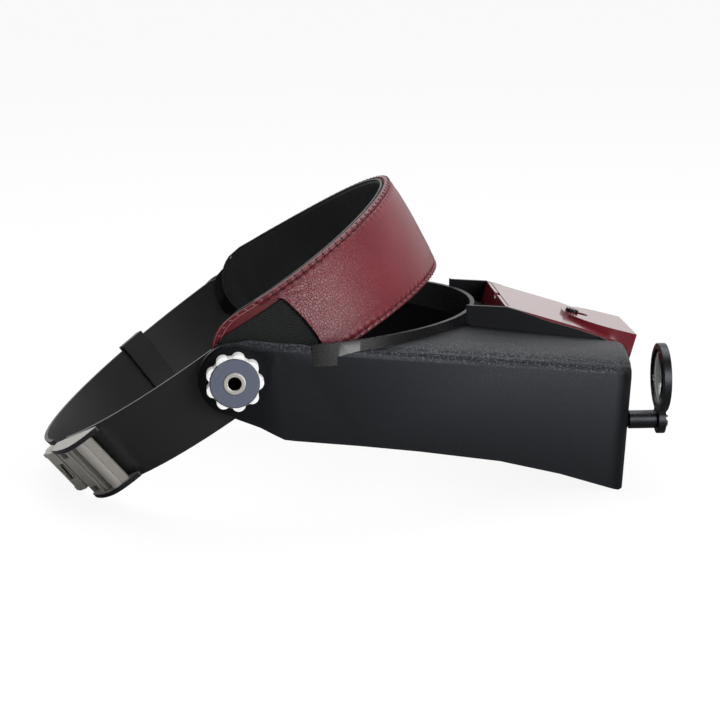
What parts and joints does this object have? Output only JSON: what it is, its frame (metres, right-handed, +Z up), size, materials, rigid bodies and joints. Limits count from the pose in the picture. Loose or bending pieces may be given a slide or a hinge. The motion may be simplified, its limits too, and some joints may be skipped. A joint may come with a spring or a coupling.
{
  "type": "headband magnifier",
  "caption": "Padded head loop with a tilting visor that carries a wide main lens, a fold-down second lens, a swing-up round loupe and a battery light on its roof.",
  "frame": {"origin": "on the surface that the object stands on, under the middle of its outer box", "axes": "+X forward, from the back of the head to the lenses; +Y to the wearer's left; +Z up"},
  "size_m": [0.2548, 0.1794, 0.1226],
  "materials": {
    "leatherette": "grained burgundy leatherette",
    "backing": "smooth burgundy leatherette",
    "pad": "black padded cloth with a piped edge",
    "elastic": "woven black elastic",
    "strap": "smooth satin black",
    "keeper": "smooth satin black",
    "buckle": "satin dark grey",
    "bolt": "blackened",
    "washer": "plain nylon",
    "knob": "white, glossy",
    "disc": "blue-grey satin",
    "nut": "polished",
    "visor": "fine-grained black",
    "frame_black": "satin black",
    "lens": "clear",
    "screw": "plain",
    "light_red": "glossy burgundy",
    "board": "green",
    "led": "milky white",
    "window": "clear",
    "cell": "bright",
    "contact": "spring metal"
  },
  "bodies": {
    "headband": {"brow_cover": "leatherette", "brow_backing": "backing", "brow_pad": "pad", "elastic_band": "elastic", "right_strap": "strap", "left_strap": "strap", "buckle_housing": "buckle", "buckle_clip": "buckle", "right_pivot_bolt": "bolt", "left_pivot_bolt": "bolt", "pivot_washers": "washer"},
    "keeper": {"strap_keeper": "keeper"},
    "right_knob": {"right_knob": "knob", "right_knob_disc": "disc", "right_knob_nut": "nut"},
    "left_knob": {"left_knob": "knob", "left_knob_disc": "disc", "left_knob_nut": "nut"},
    "visor": {"visor_shell": "visor", "main_lens": "lens", "lens_retainer": "frame_black", "lens_screws": "screw", "loupe_post": "frame_black", "post_nut": "screw", "loupe_screw": "nut", "light_cradle": "visor", "cradle_screws": "screw", "light_cover": "light_red", "light_base": "frame_black", "circuit_board": "board", "leds": "led", "led_window": "window", "coin_cells": "cell", "battery_contacts": "contact", "switch_body": "screw"},
    "fold_lens": {"flip_frame": "frame_black", "flip_lens": "lens", "flip_pins": "screw"},
    "loupe": {"loupe_frame": "frame_black", "loupe_lens": "lens", "loupe_ring": "frame_black"},
    "battery_door": {"battery_door": "light_red"},
    "light_switch": {"switch_slider": "frame_black"}
  },
  "joints": [
    {"name": "visor_tilt", "type": "hinge", "parent": "headband", "child": "visor", "pos_m": [-0.04746, 0, 0.05646], "axis": [0, 1, 0], "range_deg": [-85, 10]},
    {"name": "right_knob_turn", "type": "hinge", "parent": "headband", "child": "right_knob", "pos_m": [-0.04746, -0.085, 0.05646], "axis": [0, 1, 0], "continuous": true},
    {"name": "left_knob_turn", "type": "hinge", "parent": "headband", "child": "left_knob", "pos_m": [-0.04746, 0.085, 0.05646], "axis": [0, 1, 0], "continuous": true},
    {"name": "fold_lens_hinge", "type": "hinge", "parent": "visor", "child": "fold_lens", "pos_m": [0.09986, 0, 0.04411], "axis": [0, 1, 0], "range_deg": [-87, 0]},
    {"name": "loupe_swing", "type": "hinge", "parent": "visor", "child": "loupe", "pos_m": [0.1246, -0.049, 0.02752], "axis": [0.9999, 0, -0.0159], "continuous": true},
    {"name": "battery_door_hinge", "type": "hinge", "parent": "visor", "child": "battery_door", "pos_m": [0.06292, 0, 0.06424], "axis": [0, 1, 0], "range_deg": [-65, 0]},
    {"name": "switch_slide", "type": "slide", "parent": "visor", "child": "light_switch", "axis": [0.9573, 0, -0.2892], "range_m": [0, 0.004]},
    {"name": "keeper_slide", "type": "slide", "parent": "headband", "child": "keeper", "axis": [-0.7227, -0.4689, -0.5077], "range_m": [-0.003, 0.003]}
  ]
}
